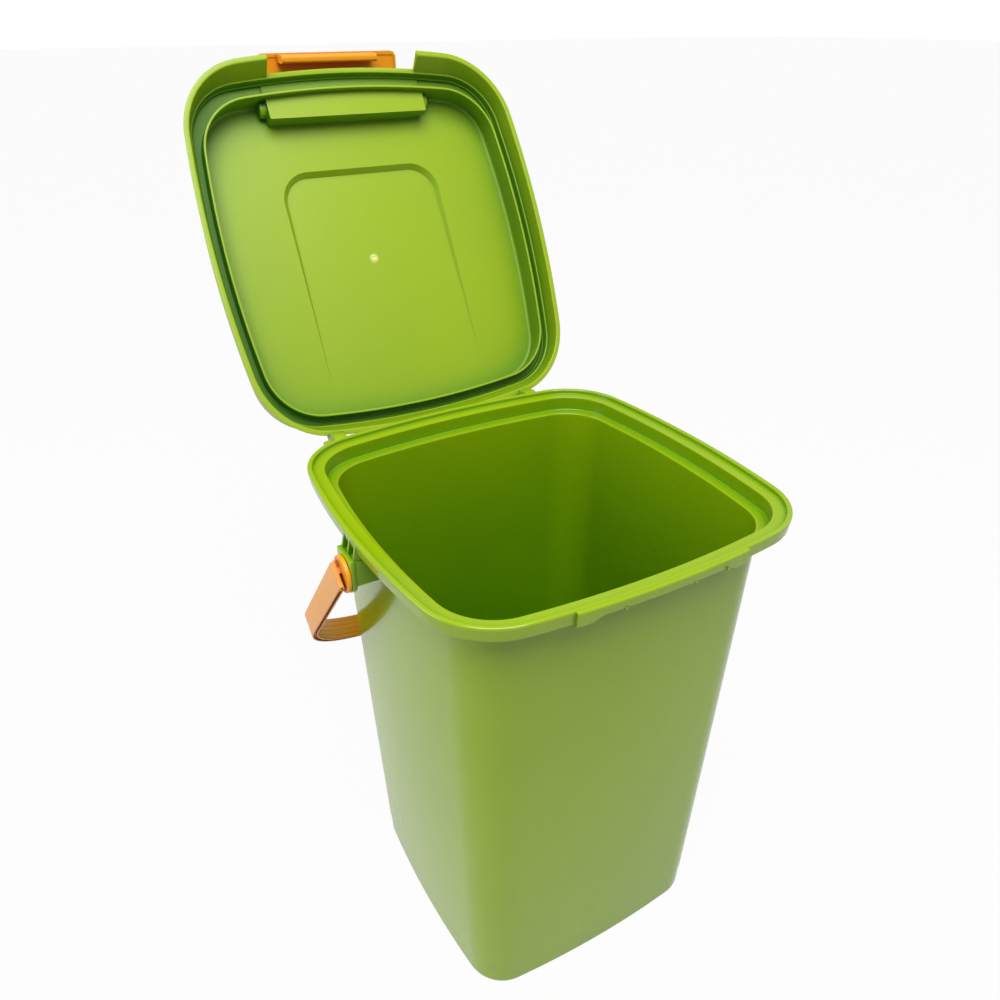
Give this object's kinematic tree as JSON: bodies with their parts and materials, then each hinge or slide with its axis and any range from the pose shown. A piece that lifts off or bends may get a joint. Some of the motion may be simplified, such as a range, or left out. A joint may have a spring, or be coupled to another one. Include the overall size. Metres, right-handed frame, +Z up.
{
  "type": "food waste caddy",
  "caption": "Tapered square kitchen food waste caddy with a hinged lid, a swing latch and a carry handle.",
  "frame": {"origin": "centre of the bin's base, on the surface that it stands on", "axes": "+Z up, +Y towards the lid's hinge, +X to the right seen from the front"},
  "size_m": [0.247, 0.3952, 0.5133],
  "materials": {
    "bin_green": "satin moulded polypropylene",
    "lid_green": "satin moulded polypropylene",
    "latch_orange": "satin moulded polypropylene",
    "handle_orange": "satin moulded polypropylene"
  },
  "bodies": {
    "bin": {"bin_body": "bin_green"},
    "lid": {"lid": "lid_green"},
    "latch": {"lid_latch": "latch_orange"},
    "handle": {"carry_handle": "handle_orange"}
  },
  "joints": [
    {"name": "lid_hinge", "type": "hinge", "parent": "bin", "child": "lid", "pos_m": [0, 0.1251, 0.2925], "axis": [1, 0, 0], "range_deg": [0, 118]},
    {"name": "latch_pivot", "type": "hinge", "parent": "lid", "child": "latch", "pos_m": [0, 0.25358, 0.48022], "axis": [1, 0, 0], "range_deg": [0, 60]},
    {"name": "handle_pivot", "type": "hinge", "parent": "bin", "child": "handle", "pos_m": [0, 0, 0.2842], "axis": [1, 0, 0], "range_deg": [0, 49.4]}
  ]
}
